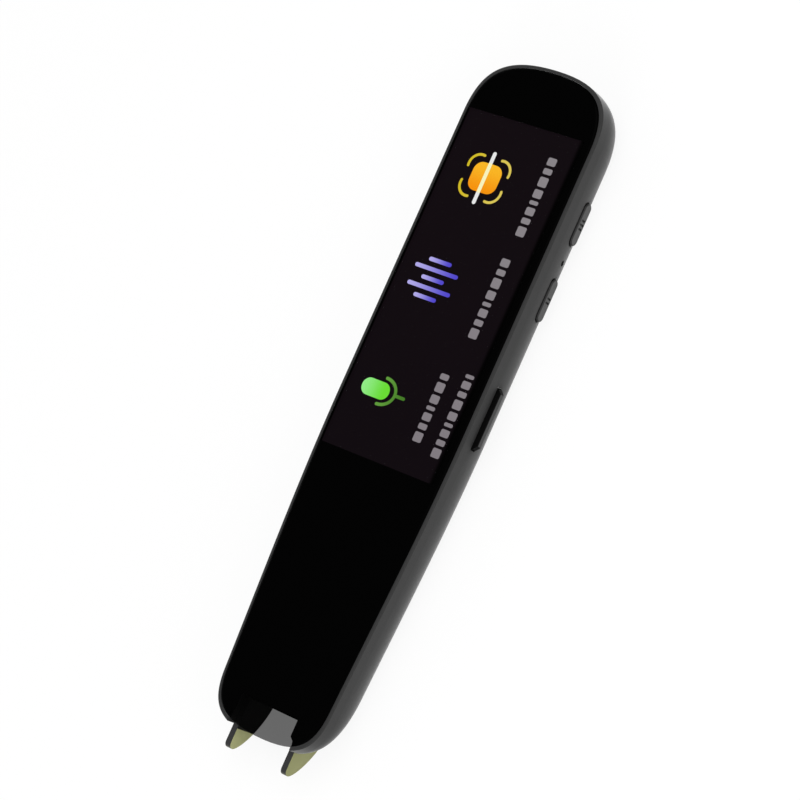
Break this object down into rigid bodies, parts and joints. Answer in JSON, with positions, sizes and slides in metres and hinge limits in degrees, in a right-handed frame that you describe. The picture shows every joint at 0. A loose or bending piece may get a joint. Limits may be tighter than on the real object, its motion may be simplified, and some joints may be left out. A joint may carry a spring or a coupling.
{
  "type": "handheld scanning translator pen",
  "caption": "Slim handheld scanning translator with a long glass screen, side keys, a round speaker grille in its back and a forked see-through scanning nib.",
  "frame": {"origin": "middle of the flat back, about half-way between the lanyard end and the tips of the scanning nib", "axes": "+Z out of the screen, +Y towards the lanyard end, +X towards the side with the keys"},
  "size_m": [0.0372, 0.1648, 0.0126],
  "materials": {
    "case_plastic": "matte dark grey case",
    "glass_black": "gloss black printed front glass, clear over the display",
    "tape": "black foam tape",
    "panel": "dark display glass",
    "chip": "black chip resin",
    "steel": "stamped steel",
    "ribbon": "amber film circuit",
    "frame_metal": "cast light alloy, blasted",
    "key_plastic": "matte dark grey keys",
    "switch_body": "black switch housing",
    "board": "green circuit board",
    "rubber_black": "black silicone",
    "connector": "ivory connector plastic",
    "battery_foil": "crimped battery foil",
    "wire": "sheathed wire",
    "grille_gloss": "gloss black grille",
    "mesh": "woven dust mesh",
    "paper": "coated cone paper",
    "copper": "enamelled copper",
    "nib_clear": "smoky olive translucent plastic",
    "clear_pane": "clear scan pane",
    "lens": "coated camera lens",
    "led": "lamp resin"
  },
  "bodies": {
    "case": {"backlight_unit": "steel", "battery_board": "board", "battery_cell": "battery_foil", "battery_leads": "wire", "battery_plug": "connector", "battery_tape": "tape", "board_screws": "steel", "camera_housing": "switch_body", "camera_lens": "lens", "chassis_screws": "steel", "cover_glass": "glass_black", "display_connector": "connector", "display_driver": "chip", "display_flex": "ribbon", "display_panel": "panel", "glass_tape": "tape", "home_switch": "switch_body", "lanyard_bar": "case_plastic", "main_board": "board", "memory_chip": "chip", "microphone_boot": "rubber_black", "mid_frame": "frame_metal", "nib_springs": "steel", "nib_switch": "switch_body", "power_switch": "switch_body", "processor": "chip", "rear_cover": "case_plastic", "scan_board": "board", "scan_chip": "chip", "scan_flex": "ribbon", "scan_leds": "led", "scan_window": "clear_pane", "shield_can": "steel", "side_microphone": "steel", "speaker_basket": "switch_body", "speaker_coil": "copper", "speaker_cone": "paper", "speaker_gasket": "rubber_black", "speaker_grille": "grille_gloss", "speaker_leads": "wire", "speaker_magnet": "steel", "speaker_mesh": "mesh", "usb_c_shell": "steel", "usb_c_tongue": "switch_body", "voice_key_flex": "ribbon", "voice_switch": "switch_body", "wireless_antenna": "connector"},
    "power_button": {"power_button": "key_plastic"},
    "home_button": {"home_button": "key_plastic"},
    "voice_key": {"voice_key": "key_plastic"},
    "scan_nib": {"scan_nib": "nib_clear"}
  },
  "joints": [
    {"name": "power_press", "type": "slide", "parent": "case", "child": "power_button", "axis": [-1, 0, 0], "range_m": [0, 0.0003], "stiffness_N_per_m": 900},
    {"name": "home_press", "type": "slide", "parent": "case", "child": "home_button", "axis": [-1, 0, 0], "range_m": [0, 0.0003], "stiffness_N_per_m": 900},
    {"name": "voice_press", "type": "slide", "parent": "case", "child": "voice_key", "axis": [-1, 0, 0], "range_m": [0, 0.0003], "stiffness_N_per_m": 900},
    {"name": "nib_press", "type": "slide", "parent": "case", "child": "scan_nib", "axis": [0, 1, 0], "range_m": [0, 0.0005], "stiffness_N_per_m": 700, "deforming": ["nib_springs"]}
  ]
}
